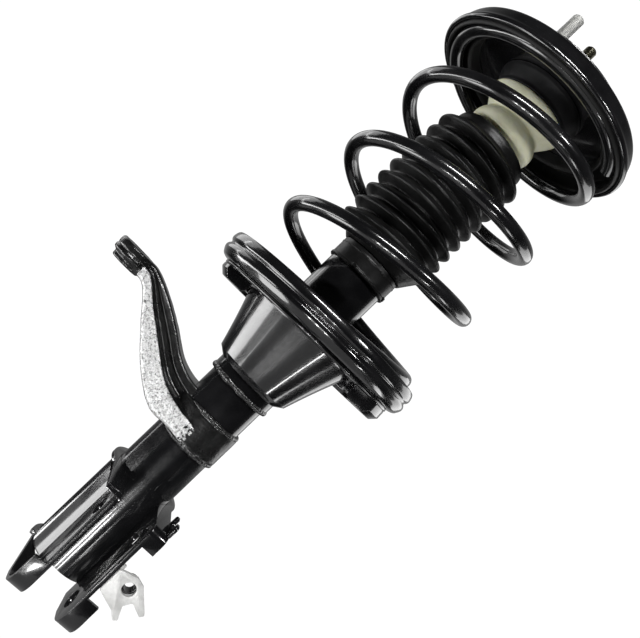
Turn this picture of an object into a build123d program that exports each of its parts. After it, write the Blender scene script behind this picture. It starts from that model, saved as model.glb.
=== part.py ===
from build123d import *
import math
import os

# Front suspension strut assembly: twin-tube damper with a welded steering arm and a knuckle
# bracket, coil spring, dust boot, bump stop, upper spring seat and a turning top mount.
# Millimetres. +Z runs up the strut's axis. The origin is the centre of the top mount's stud
# plane, where the mount meets the car body. The steering arm points along -X. The knuckle
# bracket opens towards -Y, turned a little towards +X. The damper is fully extended.

# ---------------------------------------------------------------- driving dimensions
# heights along the axis
tube_top = -206.0
tube_bottom = -535.5
shoulder_z = -14.5          # rod shoulder, which carries the upper spring seat
rod_tip = 46.0
arm_low = -407.0            # steering arm collar, lower edge
arm_high = -380.0
cone_bottom = -341.0
seat_plane = -280.0         # floor of the lower spring seat, at the seat's centre

# damper
tube_radius = 26.0
tube_wall = 2.5
rod_radius = 10.0
rod_thread_radius = 5.0
bore_radius = 15.0
cylinder_wall = 1.5
running_gap = 0.06
stop_gap = 0.3              # between faces that meet only at the end of the stroke
stroke = 110.0

# spring
spring_radius = 78.8        # to the middle of the wire
wire_radius = 6.2
active_pitch = 69.3
closed_pitch = 4.0
seat_shift = 5.5            # lower seat's centre from the strut's axis, along +X
seat_tilt = 2.6             # degrees, +X side raised
spring_gap = 1.0            # between the wire and the seat walls

# sheet metal and rubber
seat_sheet = 3.0
cone_sheet = 3.0
upper_sheet = 2.5
bracket_sheet = 3.2

# knuckle bracket
bracket_turn = 14.0         # degrees from -Y towards +X
ear_gap = 32.0
ear_reach = 60.0            # strut axis to the ears' front edge
flange_width = 10.5
bolt_reach = 41.5           # strut axis to the bolts' axis
bolt_radius = 7.3
upper_bolt_z = -475.0
bolt_spacing = 62.0

# steering arm
arm_reach = 133.0           # strut axis to the tie-rod joint's axis
arm_boss_radius = 17.0
arm_boss_top = -331.3
arm_boss_height = 17.5
taper_top_radius = 6.0
taper_bottom_radius = 6.9

# top mount
mount_radius = 67.0
mount_sheet = 3.0
stud_count = 3
stud_circle = 57.5          # radius
stud_radius = 5.0
stud_length = 24.5
stud_shank_radius = 5.5     # splined length pressed through the two plates
stud_phase = -114.0
ball_count = 9
ball_radius = 3.5
ball_circle = 17.0
ball_gap = 0.3

BOTTOM = (Align.CENTER, Align.CENTER, Align.MIN)
tube_bore = tube_radius - tube_wall


# ---------------------------------------------------------------- helpers
def disc(radius, low, high):
    """A plain cylinder on the strut's axis between two heights."""
    return Pos(0, 0, low) * Cylinder(radius, high - low, align=BOTTOM)


def ring(outer, inner, low, high):
    return disc(outer, low, high) - disc(inner, low - 1, high + 1)


def turned(points):
    """A solid of revolution about Z from a closed outline of (radius, height) points."""
    outline = Plane.XZ * Polyline(*points, close=True)
    return revolve(make_face(outline), Axis.Z)


def place_seat(shape):
    """Moves a shape made about the axis at the seat's floor height onto the offset, tilted seat."""
    return Pos(seat_shift, 0, seat_plane) * Rot(0, -seat_tilt, 0) * shape


def hexagon(across_flats, low, high):
    radius = across_flats / math.sqrt(3)
    return Pos(0, 0, low) * extrude(RegularPolygon(radius, 6), high - low)


# ---------------------------------------------------------------- damper, fixed pieces
seal_height = 6.0
guide_height = 20.0
spigot = 6.0
valve_height = 10.0
base_height = 5.0
cap_sheet = 2.0
guide_top = tube_top - seal_height
cylinder_top = guide_top - guide_height
cylinder_bottom = tube_bottom + base_height + valve_height
cylinder_radius = bore_radius + cylinder_wall
bush_wall = 1.5


def outer_tube():
    return ring(tube_radius, tube_bore, tube_bottom, tube_top)


def base_cap():
    cap = disc(tube_bore, tube_bottom, tube_bottom + base_height)
    return fillet(cap.edges().sort_by(Axis.Z)[-1], 1.5)


def inner_cylinder():
    return ring(cylinder_radius, bore_radius, cylinder_bottom, cylinder_top)


def foot_valve():
    """Valve body that plugs the inner cylinder's foot and stands on the base cap."""
    low = tube_bottom + base_height
    body = disc(cylinder_radius, low, cylinder_bottom)
    body += disc(bore_radius, cylinder_bottom, cylinder_bottom + spigot)
    body -= disc(cylinder_radius * 0.55, low - 1, low + valve_height * 0.4)
    port = Pos(0, 0, low - 1) * Cylinder(1.6, valve_height + spigot + 2, align=BOTTOM)
    for hole in PolarLocations(bore_radius * 0.62, 6):
        body -= hole * port
    return body


def rod_guide():
    guide = disc(tube_bore, cylinder_top, guide_top)
    guide += disc(bore_radius, cylinder_top - spigot, cylinder_top)
    return guide - disc(rod_radius + running_gap + bush_wall, cylinder_top - spigot - 1, guide_top + 1)


def guide_bush():
    inner = rod_radius + running_gap
    return ring(inner + bush_wall, inner, cylinder_top - spigot, guide_top)


def oil_seal():
    inner = rod_radius + running_gap
    lip = inner + 3.5
    return turned([
        (inner, guide_top), (tube_bore, guide_top), (tube_bore, tube_top), (lip, tube_top),
        (inner + 0.8, tube_top - seal_height * 0.35), (inner, tube_top - seal_height * 0.5),
    ])


def bump_cap():
    """Steel cap on the tube's rolled end, which the bump stop strikes."""
    cap = ring(tube_radius, rod_radius + 0.8, tube_top, tube_top + cap_sheet)
    rim = cap.edges().filter_by(GeomType.CIRCLE).group_by(Axis.Z)[-1].sort_by(SortBy.RADIUS)[-1]
    return fillet(rim, cap_sheet * 0.6)


# ---------------------------------------------------------------- knuckle bracket
wrap_radius = tube_radius + bracket_sheet
ear_inner = ear_gap / 2
ear_outer = ear_inner + bracket_sheet
flange_outer = ear_outer + flange_width
bracket_top_mid = -450.5    # top edge beside the strut's axis, and at the ears' front
bracket_top_front = -455.0
bracket_low_mid = -538.0
bracket_low_front = -553.0
top_slope = (bracket_top_mid - bracket_top_front) / ear_reach
fold_down_right = 16.0      # how far the folded edge runs down the front from the top
fold_down_left = 2.5
fold_up = 30.5              # how far it runs up the front from the foot
lip_width = 3.6             # folded edge round the back of the tube


def ear_outline():
    """Side view of one ear as a face in the YZ plane, from the tube's middle to the front edge."""
    corners = [
        (0, bracket_top_mid), (-ear_reach, bracket_top_front),
        (-ear_reach, bracket_low_front), (-ear_reach * 0.62, bracket_low_front),
        (0, bracket_low_mid),
    ]
    face = make_face(Plane.YZ * Polyline(*corners, close=True))
    front = face.vertices().sort_by(Axis.Y)[:2].sort_by(Axis.Z)
    face = fillet(front[0], 15)
    front_top = face.vertices().sort_by(Axis.Z).group_by(Axis.Y)[0].sort_by(Axis.Z)[-1]
    return fillet(front_top, 7)


def folded_edge(fold_down):
    """The ear's edge folded outwards along its top, round the front corners and along its foot."""
    outline = ear_outline()
    inset = offset(outline, -bracket_sheet)
    edge = extrude(outline - inset, flange_outer, dir=(1, 0, 0)) - Pos(0, 0, 0) * Box(
        2 * ear_inner, 4 * ear_reach, 3000)
    mid_low = bracket_low_front + fold_up
    mid_high = bracket_top_front - fold_down
    window = Box(4 * flange_outer, 4 * ear_reach, mid_high - mid_low)
    edge -= Pos(0, 0, (mid_low + mid_high) / 2) * window
    back = Box(4 * flange_outer, 2 * bracket_sheet + 1, bracket_top_mid - bracket_low_mid - 14)
    return edge - Pos(0, 0, (bracket_top_mid + bracket_low_mid) / 2) * back


def top_cut():
    """Everything above the bracket's top edge, which falls towards the front."""
    lean = Rot(math.degrees(math.atan(top_slope)), 0, 0)
    return Pos(0, 0, bracket_top_mid) * lean * Box(400, 400, 100, align=BOTTOM)


def back_wrap():
    """The plate round the back of the tube, with a narrow folded lip at its top and foot."""
    high = bracket_top_mid + 10
    lip_radius = wrap_radius + lip_width
    wrap = ring(wrap_radius, tube_radius, bracket_low_mid, high) - top_cut()
    top_lip = ring(lip_radius, tube_radius, bracket_top_mid - 20, high) - top_cut()
    under_lip = ring(lip_radius + 1, wrap_radius, bracket_top_mid - 60, high)
    top_lip -= under_lip - Pos(0, 0, -bracket_sheet) * top_cut()
    low_lip = ring(lip_radius, tube_radius, bracket_low_mid, bracket_low_mid + bracket_sheet)
    low_lip -= Pos(0, -ear_reach - 2, bracket_low_mid) * Box(400, 2 * ear_reach, 100)
    return wrap + top_lip + low_lip


def knuckle_bracket():
    """One pressing: a wrap round the back of the tube, and two ears that take the knuckle."""
    plate = extrude(ear_outline(), ear_outer, dir=(1, 0, 0))
    plate -= Box(2 * ear_inner, 4 * ear_reach, 3000)
    right = plate + folded_edge(fold_down_right)
    left = mirror(plate + folded_edge(fold_down_left), Plane.YZ)
    ears = right + left - disc(tube_radius, bracket_low_front - 1, bracket_top_mid + 20)
    shape = back_wrap() + ears
    slot = Box(ear_gap, 2 * ear_reach, 3000)
    shape -= Pos(0, -ear_reach - 1, 0) * slot
    for z in (upper_bolt_z, upper_bolt_z - bolt_spacing):
        bolt = Pos(0, -bolt_reach, z) * Rot(0, 90, 0) * Cylinder(bolt_radius, 4 * flange_outer)
        shape -= bolt
    return Rot(0, 0, bracket_turn) * shape


def sensor_clip():
    """Small upright tab with an open slot, on the folded edge, for the sensor's cable."""
    width, height, slot = 20.0, 10.0, 7.0
    middle = -48.0
    foot = bracket_top_mid + top_slope * middle
    tab = Box(bracket_sheet * 0.75, width, height, align=(Align.MAX, Align.CENTER, Align.MIN))
    tab = fillet(tab.edges().filter_by(Axis.X).group_by(Axis.Z)[-1], 3)
    cut = Pos(0, 0, height - 3.0) * Box(20, slot, 12, align=BOTTOM)
    cut += Pos(0, 0, height - 3.0) * Rot(0, 90, 0) * Cylinder(slot / 2, 20)
    lean = Rot(math.degrees(math.atan(top_slope)), 0, 0)
    return Rot(0, 0, bracket_turn) * Pos(flange_outer, middle, foot) * lean * (tab - cut)


# ---------------------------------------------------------------- brake hose bracket
hose_sheet = 3.0
hose_hole_z = -502.0
hose_hole_x = ear_outer + 18.5
hose_plane = -ear_reach + 11.0       # front face of the bracket's plate, in Y
hose_hole_radius = 5.4
hose_nut_radius = 6.8
hose_nut_height = 6.0
hose_thread_radius = 3.9


def hose_bracket():
    """Plated tab: a round-topped plate with two prongs, and a leg welded along the ear."""
    outline = Polyline(
        (ear_outer + 3, hose_hole_z + 6.5), (hose_hole_x - 8.5, hose_hole_z + 8.5),
        (hose_hole_x - 1, hose_hole_z + 10.3), (hose_hole_x + 6.5, hose_hole_z + 8),
        (hose_hole_x + 22.8, hose_hole_z - 6.8), (hose_hole_x + 20.3, hose_hole_z - 10),
        (hose_hole_x + 9.5, hose_hole_z - 5.4), (hose_hole_x + 5.6, hose_hole_z - 11.5),
        (hose_hole_x + 10.8, hose_hole_z - 21.8), (hose_hole_x + 7.8, hose_hole_z - 23.8),
        (hose_hole_x + 2, hose_hole_z - 19), (hose_hole_x - 7, hose_hole_z - 16),
        (ear_outer + 3, hose_hole_z - 13), close=True)
    plate = extrude(make_face(Plane.XZ * outline), -hose_sheet)
    plate = fillet(plate.edges().filter_by(Axis.Y), 1.4)
    leg = Pos(ear_outer, 0, hose_hole_z - 0.75) * Box(
        hose_sheet, 18, 21.5, align=(Align.MIN, Align.MIN, Align.CENTER))
    join = Pos(ear_outer, 0, hose_hole_z - 0.75) * Box(
        hose_sheet + 3, hose_sheet, 21.5, align=(Align.MIN, Align.MIN, Align.CENTER))
    bracket = Pos(0, hose_plane, 0) * (plate + leg + join)
    hole = Pos(hose_hole_x, hose_plane, hose_hole_z) * Rot(90, 0, 0) * Cylinder(hose_hole_radius, 40)
    return Rot(0, 0, bracket_turn) * (bracket - hole)


def hose_nut():
    """Weld nut on the back of the hose bracket's plate, with a pilot in the plate's hole."""
    nut = Cylinder(hose_nut_radius, hose_nut_height, align=BOTTOM)
    nut += Pos(0, 0, -hose_sheet + 0.5) * Cylinder(hose_hole_radius, hose_sheet - 0.5, align=BOTTOM)
    nut -= Cylinder(hose_thread_radius, 60)
    place = Pos(hose_hole_x, hose_plane + hose_sheet, hose_hole_z) * Rot(-90, 0, 0)
    return Rot(0, 0, bracket_turn) * place * nut


# ---------------------------------------------------------------- steering arm
arm_collar_wall = 2.8


def arm_section(reach, low, crest, top, depth):
    """One section across the arm: a deep front facet, a sloping band, and a narrow crest."""
    front, crest_y = -depth / 2, -depth * 0.28
    points = [
        (front + 2, low), (front, low + 2.5), (front, crest), (crest_y, crest + (top - crest) * 0.45),
        (crest_y + 1.5, top), (depth / 2 - 2, top), (depth / 2, top - 3),
        (depth / 2, low + 4), (depth / 2 - 2, low),
    ]
    return make_face(Pos(-reach, 0, 0) * (Plane.YZ * Polyline(*points, close=True)))


def steering_arm():
    """Forging: a collar round the tube, a deep arm rising outwards, and a tapered boss."""
    end_low = arm_boss_top - arm_boss_height
    sections = [
        arm_section(8.0, arm_low, arm_low + 15, arm_high + 7, 57),
        arm_section(tube_radius - 6, arm_low, arm_low + 16, arm_high + 8, 54),
        arm_section(36.0, arm_low - 2, arm_low + 18, arm_high + 9.5, 40),
        arm_section(48.0, arm_low + 3, arm_low + 23, arm_high + 14.5, 31),
        arm_section(69.0, arm_low + 17.5, arm_low + 37, arm_high + 28, 25),
        arm_section(90.0, arm_low + 37.5, arm_low + 51.5, arm_high + 39.5, 21),
        arm_section(arm_reach - 21, end_low + 0.5, end_low + 10, arm_boss_top - 0.5, 20),
        arm_section(arm_reach - 6, end_low + 0.5, end_low + 10, arm_boss_top - 0.5, 20),
    ]
    arm = loft(sections, ruled=True)
    boss = Pos(-arm_reach, 0, end_low + 5) * Cylinder(arm_boss_radius, arm_boss_height - 5, align=BOTTOM)
    boss = chamfer(boss.edges().filter_by(GeomType.CIRCLE), 1.2)
    boss += Pos(-arm_reach, 0, end_low) * Cylinder(arm_boss_radius - 4, 6, align=BOTTOM)
    shape = arm + boss + disc(tube_radius + arm_collar_wall, arm_low, arm_high)
    shape -= disc(tube_radius, arm_low - 10, arm_high + 40)
    taper = Cone(taper_bottom_radius, taper_top_radius, arm_boss_height, align=BOTTOM)
    return shape - Pos(-arm_reach, 0, end_low) * taper


# ---------------------------------------------------------------- lower spring seat
seat_wall_inner = spring_radius + wire_radius + spring_gap + 1.0
seat_rim_radius = seat_wall_inner + 7.4
seat_rim_height = 19.0
base_plate_radius = seat_wall_inner - 1.5
cone_mouth = tube_radius + 34.0
cone_foot = tube_radius + 9.4      # radius where the cone turns in to its neck
cone_turn = 5.0             # height over which it turns in
cone_hollow = 2.0           # how far its wall is drawn in halfway up
neck_height = 8.0           # short sleeve below the cone, welded round its foot
neck_wall = 2.4


def lower_spring_seat():
    """Pressed pan with two beads rolled round its wall."""
    t, r, h = seat_sheet, seat_rim_radius, seat_rim_height
    points = [
        (5, -t), (r - 6.5, -t), (r - 3.2, -t + 1.6), (r - 0.4, h * 0.16), (r, h * 0.28),
        (r - 2.2, h * 0.46), (r, h * 0.66), (r - 0.9, h * 0.9), (r - 2.8, h), (r - 4.2, h * 0.92),
        (r - t, h * 0.66), (r - t - 2.0, h * 0.46), (r - t, h * 0.28), (r - 6.6, 0.6), (r - 8.0, 0), (5, 0),
    ]
    pan = place_seat(turned(points))
    return pan - disc(tube_radius, seat_plane - 40, seat_plane + 40)


def seat_base_plate():
    """Flat pressing under the pan, welded to it and to the support cone."""
    plate = place_seat(disc(base_plate_radius, -seat_sheet - 3.0, -seat_sheet))
    return plate - disc(tube_radius, seat_plane - 40, seat_plane + 40)


stiffener_sheet = 2.6
stiffener_middle = 85.0     # direction in which the deep and the shallow half meet, from +X
stiffener_first = -34.0
stiffener_last = 206.0
stiffener_cap = 2.5         # how far the hollow stops short of each end, in degrees


def stiffener_half(depth, first, last):
    """A closed channel under the base plate between two directions."""
    t = stiffener_sheet
    top = -seat_sheet - 3.0
    outer, inner = base_plate_radius - 0.4, cone_mouth + 2.0
    points = [
        (inner, top), (outer, top), (outer, top - depth + 5), (outer - 5, top - depth),
        (inner + 3, top - depth), (inner, top - depth + 3),
    ]
    cavity = [
        (inner + t, top - t), (outer - t, top - t), (outer - t, top - depth + t + 1),
        (outer - t - 1, top - depth + t), (inner + t, top - depth + t),
    ]
    channel = revolve(make_face(Plane.XZ * Polyline(*points, close=True)), Axis.Z, last - first)
    cavity_face = make_face(Plane.XZ * Polyline(*cavity, close=True))
    hollow = revolve(cavity_face, Axis.Z, last - first - 2 * stiffener_cap)
    return Rot(0, 0, first) * (channel - Rot(0, 0, stiffener_cap) * hollow)


def seat_stiffener():
    """Channel under the base plate's right, rear and left, deeper on the right."""
    deep = stiffener_half(12.0, stiffener_first, stiffener_middle)
    shallow = stiffener_half(8.5, stiffener_middle, stiffener_last)
    return place_seat(deep + shallow)


def support_cone():
    """Bell that carries the seat, welded to the tube at its foot and cut to the seat's tilt."""
    cone_top = seat_plane + 12
    middle = (cone_bottom + cone_top) / 2
    mid_radius = (cone_foot + cone_mouth) / 2 - cone_hollow
    turn_top = cone_bottom + cone_turn
    inner_foot = (cone_foot - cone_sheet, turn_top + 1.5)
    outer = ThreePointArc((cone_foot, turn_top), (mid_radius, middle), (cone_mouth, cone_top))
    inner = ThreePointArc((cone_mouth - cone_sheet, cone_top), (mid_radius - cone_sheet, middle), inner_foot)
    edges = outer + Line((cone_mouth, cone_top), (cone_mouth - cone_sheet, cone_top)) + inner
    edges += Polyline(inner_foot, (tube_radius, cone_bottom + 3), (tube_radius, cone_bottom),
                      (tube_radius + neck_wall, cone_bottom), (cone_foot, turn_top))
    bell = revolve(make_face(Plane.XZ * edges), Axis.Z)
    bell += ring(tube_radius + neck_wall, tube_radius, cone_bottom - neck_height, cone_bottom + 2)
    above = Pos(0, 0, -seat_sheet - 3.0) * Box(400, 400, 100, align=BOTTOM)
    return bell - place_seat(above)


# ---------------------------------------------------------------- weld beads
def weld_bead(z, radius, size, upwards):
    """Quarter-round bead in the corner between the tube and a face at height z."""
    tip = z + size if upwards else z - size
    mid = z + size * 0.62 if upwards else z - size * 0.62
    return turned([(radius, z), (radius + size, z), (radius + size * 0.62, mid), (radius, tip)])


def weld_beads():
    """Beads above and below the arm's collar, left out where the arm joins it, and under the cone."""
    arm = steering_arm()
    collar = [weld_bead(arm_high, tube_radius, 2.6, True), weld_bead(arm_low, tube_radius, 2.6, False)]
    foot = weld_bead(cone_bottom - neck_height, tube_radius, 2.8, False)
    return Compound(children=[*[bead - arm for bead in collar], foot])


# ---------------------------------------------------------------- coil spring
spring_turns = 5.0
lower_closed = 0.435        # turns that lie on the lower seat
lower_ramp = 0.7            # turns over which the pitch grows to its full value
upper_ramp = 0.67
upper_closed = 0.33
spring_phase = -14.7        # direction of the lower tip, in degrees from +X


def spring_pitch(turn):
    """Rise in mm per turn: closed ends, a ramp, and even pitch between."""
    full = lower_closed + lower_ramp
    fade = spring_turns - upper_closed - upper_ramp
    if turn < lower_closed:
        return 0.0
    if turn < full:
        return active_pitch * (turn - lower_closed) / lower_ramp
    if turn < fade:
        return active_pitch
    if turn < fade + upper_ramp:
        return active_pitch + (closed_pitch - active_pitch) * (turn - fade) / upper_ramp
    return closed_pitch


def spring_points(per_turn=12, fine=10):
    """Points on the wire's centreline. The axis leans from the lower seat's centre to the strut's."""
    count = round(spring_turns * per_turn)
    step = spring_turns / count / fine
    heights = [0.0]
    for i in range(count):
        rise = sum(spring_pitch((i * fine + j + 0.5) * step) * step for j in range(fine))
        heights.append(heights[-1] + rise)
    bottom = seat_plane + wire_radius + 0.5
    points = []
    for i, height in enumerate(heights):
        angle = math.radians(spring_phase + 360.0 * i / per_turn)
        share = 1 - height / heights[-1]
        x = spring_radius * math.cos(angle)
        lean = math.tan(math.radians(seat_tilt)) * x * share ** 3
        points.append((x + seat_shift * share, spring_radius * math.sin(angle), bottom + height + lean))
    return points


def coil_spring():
    path = Spline(*spring_points())
    section = Plane(origin=path @ 0, z_dir=path % 0) * Circle(wire_radius)
    return sweep(section, path=path, is_frenet=True)


# ---------------------------------------------------------------- bump stop and dust boot
boot_ribs = 9
boot_pitch = 12.7
boot_tip_radius = 44.4
boot_valley_radius = 37.0
boot_wall = 1.6
boot_collar_radius = 36.0
boot_top = -71.5
first_rib = -87.0
cuff_wall = 1.8
cuff_length = 16.5
stop_radius = 36.3
stop_top = -30.0
stop_waist = 25.9
stop_bulge = 30.6


def stop_cup():
    """Moulded cup under the spring seat that carries the bump stop."""
    return turned([
        (rod_radius + 0.1, shoulder_z), (stop_radius + 4, shoulder_z), (stop_radius + 4, shoulder_z - 3),
        (stop_radius - 1, stop_top + 3), (stop_radius - 1, stop_top), (rod_radius + 0.1, stop_top),
    ])


def bump_stop():
    """Foam stop: wide head, waist, bulge and a ribbed tail that reaches into the boot."""
    points = [
        (rod_radius + 0.1, stop_top), (stop_radius, stop_top), (stop_radius, -35.0),
        (stop_waist, -49.5), (stop_bulge - 1.2, -55.5), (stop_bulge, -60), (stop_bulge - 1.2, -64.5),
        (stop_waist - 1.2, -70), (stop_waist - 1.2, -72.5), (stop_bulge - 3.5, -77), (stop_bulge - 3.5, -81),
        (rod_radius + 8, -88), (rod_radius + 5, tube_top + cap_sheet + stroke + 1.5),
        (rod_radius + 0.1, tube_top + cap_sheet + stroke + 1.5),
    ]
    return turned(points)


def dust_boot():
    """Bellows whose cuff grips the tube's end; small lugs stand on the cuff's edge."""
    cuff_radius = tube_radius + cuff_wall
    cuff_top = tube_top - 1.5
    outer = [(boot_collar_radius - 5.5, boot_top), (boot_collar_radius - 1.5, boot_top - 1.5),
             (boot_collar_radius, boot_top - 4.5), (boot_collar_radius, first_rib + boot_pitch * 0.45)]
    inner = [(boot_collar_radius - 5.5, boot_top - boot_wall),
             (boot_collar_radius - boot_wall - 1, boot_top - 2.8),
             (boot_collar_radius - boot_wall, first_rib + boot_pitch * 0.45)]
    for i in range(boot_ribs):
        z = first_rib - i * boot_pitch
        outer += [(boot_tip_radius - 1.5, z + 2.2), (boot_tip_radius, z), (boot_tip_radius - 1.5, z - 2.2)]
        inner += [(boot_tip_radius - boot_wall - 1.2, z)]
        if i < boot_ribs - 1:
            low = z - boot_pitch / 2
            outer += [(boot_valley_radius, low + 0.8), (boot_valley_radius, low - 0.8)]
            inside = boot_valley_radius - boot_wall
            inner += [(inside, low + 0.8), (inside, low - 0.8)]
    outer += [(cuff_radius, cuff_top), (cuff_radius, cuff_top - cuff_length)]
    inner += [(tube_radius, cuff_top + 1.0), (tube_radius, cuff_top - cuff_length)]
    boot = turned(outer + inner[::-1])
    lug = Pos(cuff_radius + 0.2, 0, cuff_top - cuff_length + 2.6) * Box(2.6, 4.0, 3.6)
    for turn in range(4):
        boot += Rot(0, 0, spring_phase + 90 * turn) * lug
    return boot


# ---------------------------------------------------------------- rod and piston
piston_top = cylinder_top - spigot - stop_gap - 22.0
piston_height = 16.0
nut_height = 9.0
washer_sheet = 2.0


def piston_rod():
    end = piston_top - piston_height - washer_sheet - nut_height - 2
    rod = disc(rod_radius, piston_top, shoulder_z)
    rod += disc(rod_thread_radius, end, piston_top)
    tip = disc(rod_thread_radius, shoulder_z, rod_tip)
    rod += chamfer(tip.edges().sort_by(Axis.Z)[-1], 1.0)
    socket = hexagon(5.0, rod_tip - 7, rod_tip + 1)
    return rod - socket


def piston():
    low = piston_top - piston_height
    body = disc(bore_radius - 0.15, low, piston_top) - disc(rod_thread_radius, low - 1, piston_top + 1)
    body -= ring(bore_radius + 5, bore_radius - 1.2, low + 4, piston_top - 4)
    port = Pos(0, 0, low - 1) * Cylinder(1.5, piston_height + 2, align=BOTTOM)
    for hole in PolarLocations((bore_radius + rod_thread_radius) / 2, 6):
        body -= hole * port
    return body


def piston_band():
    return ring(bore_radius - running_gap, bore_radius - 1.2, piston_top - piston_height + 4, piston_top - 4)


def piston_shims():
    low = piston_top - piston_height - washer_sheet
    return ring(bore_radius - 3, rod_thread_radius, low, low + washer_sheet)


def piston_nut():
    high = piston_top - piston_height - washer_sheet
    return hexagon(18.0, high - nut_height, high) - disc(rod_thread_radius, high - nut_height - 1, high + 1)


def rebound_stop():
    low = piston_top
    return ring(bore_radius - 1.0, rod_radius, low + 10, cylinder_top - spigot - stop_gap)


# ---------------------------------------------------------------- upper spring seat
skirt_top_radius = spring_radius + wire_radius + 3.0
skirt_low_radius = skirt_top_radius + 5.8
seat_top = shoulder_z + upper_sheet


def upper_spring_seat():
    """Inverted pan: flat top clamped on the rod's shoulder, flared skirt with a rolled edge."""
    t, r, s = upper_sheet, skirt_top_radius, skirt_low_radius
    top, low = seat_top, shoulder_z
    points = [
        (rod_thread_radius + 0.1, top), (r - 2.5, top), (r, top - 1.2), (r + 1.6, top - 3.4),
        (s - 1.2, -24.5), (s, -26.5), (s, -28.2), (s - 1.4, -29.6), (s - 3.2, -29.2), (s - 3.8, -27.2),
        (s - t - 1.6, -25.0), (r - 1.4, low - 2.2), (r - 3.2, low), (rod_thread_radius + 0.1, low),
    ]
    return turned(points)


def upper_isolator():
    """Rubber ring in the seat, with an outer lip and an inner lip that hold the closed coil."""
    low = shoulder_z
    outer_wall = spring_radius + wire_radius + spring_gap - 0.4
    inner_wall = spring_radius - wire_radius - spring_gap
    r = skirt_top_radius
    points = [
        (inner_wall - 6, low), (r - 3.2, low), (r - 1.4, low - 2.2), (skirt_low_radius - 4.1, -25.0),
        (skirt_low_radius - 4.6, -29.5), (skirt_low_radius - 6.0, -31.4), (outer_wall + 1.2, -31.0),
        (outer_wall, -28.5), (outer_wall, low - 1.9), (inner_wall, low - 1.9), (inner_wall, -23.5),
        (inner_wall - 1.6, -25.5), (inner_wall - 4, -23.0),
    ]
    return turned(points)


# ---------------------------------------------------------------- bearing and top mount
race_low, race_high = 1.0, 12.0
inner_race_inner, inner_race_outer = 10.0, ball_circle - 2.2
outer_race_inner, outer_race_outer = ball_circle + 2.2, 24.0
spacer_top = 16.0
washer_top = spacer_top + 2.5
dome = [(50.0, 0.0), (42.5, 11.5), (28.5, 16.5), (26.5, 16.5)]
base_plate_bore = 30.0


def groove():
    middle = (race_low + race_high) / 2
    return Pos(0, 0, middle) * Torus(ball_circle, ball_radius + ball_gap)


def bearing_inner_race():
    return ring(inner_race_outer, inner_race_inner, race_low, race_high) - groove()


def bearing_outer_race():
    return ring(outer_race_outer, outer_race_inner, race_low, race_high) - groove()


def balls(radius):
    middle = (race_low + race_high) / 2
    return [Pos(0, 0, middle) * hole * Sphere(radius) for hole in PolarLocations(ball_circle, ball_count)]


def bearing_balls():
    return Compound(children=balls(ball_radius))


def bearing_cage():
    middle = (race_low + race_high) / 2
    half = ball_radius + 1.3
    cage = ring(ball_circle + 1.0, ball_circle - 1.0, middle - half, middle + half)
    pocket = Rot(0, 90, 0) * Cylinder(ball_radius + 0.1, 12)
    for place in PolarLocations(ball_circle, ball_count):
        cage -= Pos(0, 0, middle) * place * pocket
    return cage


def bearing_spacer():
    """Sleeve between the seat and the rod nut, stepped to carry the bearing's inner race."""
    sleeve = ring(inner_race_inner, rod_thread_radius + 0.1, seat_top, spacer_top)
    return sleeve + ring(inner_race_outer - 1, inner_race_inner - 0.5, seat_top, race_low)


def rod_washer():
    return ring(inner_race_outer, rod_thread_radius + 0.1, spacer_top, washer_top)


def rod_nut():
    nut = hexagon(19.0, washer_top, washer_top + nut_height + 1.5)
    nut &= turned([(0, washer_top), (11.5, washer_top), (11.5, washer_top + nut_height),
                   (9.0, washer_top + nut_height + 1.5), (0, washer_top + nut_height + 1.5)])
    return nut - disc(rod_thread_radius, washer_top - 1, washer_top + 40)


def stud_places():
    turns = [stud_phase + 360.0 * i / stud_count for i in range(stud_count)]
    return [Rot(0, 0, turn) * Pos(stud_circle, 0, 0) for turn in turns]


def mount_shell():
    """Flanged steel dome that bolts under the body's strut tower."""
    t = mount_sheet
    under = [(r - 1.5, z - t) for r, z in dome]
    under[-1] = (dome[-1][0], dome[-1][1] - t)
    shell = turned([(mount_radius, 0), *dome, *under[::-1], (mount_radius, -t)])
    for place in stud_places():
        shell -= place * Cylinder(stud_shank_radius, 40)
    return shell


def mount_rubber():
    """Rubber bonded between the bearing's outer race and the shell."""
    t = mount_sheet
    under = [(r - 1.5, z - t) for r, z in dome[:-1]]
    return turned([
        (outer_race_outer, race_low), (base_plate_bore, -t), *under,
        (dome[-1][0], dome[-1][1] - t), (outer_race_outer, race_high),
    ])


def mount_base_plate():
    t = mount_sheet
    plate = ring(mount_radius - 2, base_plate_bore, -2 * t, -t)
    for place in stud_places():
        plate -= place * Cylinder(stud_shank_radius, 40)
    return plate


def mount_studs():
    t = mount_sheet
    stud = Cylinder(stud_radius, stud_length, align=BOTTOM)
    stud = chamfer(stud.edges().sort_by(Axis.Z)[-1], 1.2)
    stud += Pos(0, 0, -2 * t) * Cylinder(stud_shank_radius, 2 * t, align=BOTTOM)
    stud += Pos(0, 0, -2 * t - 2.5) * Cylinder(stud_shank_radius + 2.0, 2.5, align=BOTTOM)
    return Compound(children=[place * stud for place in stud_places()])


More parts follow.
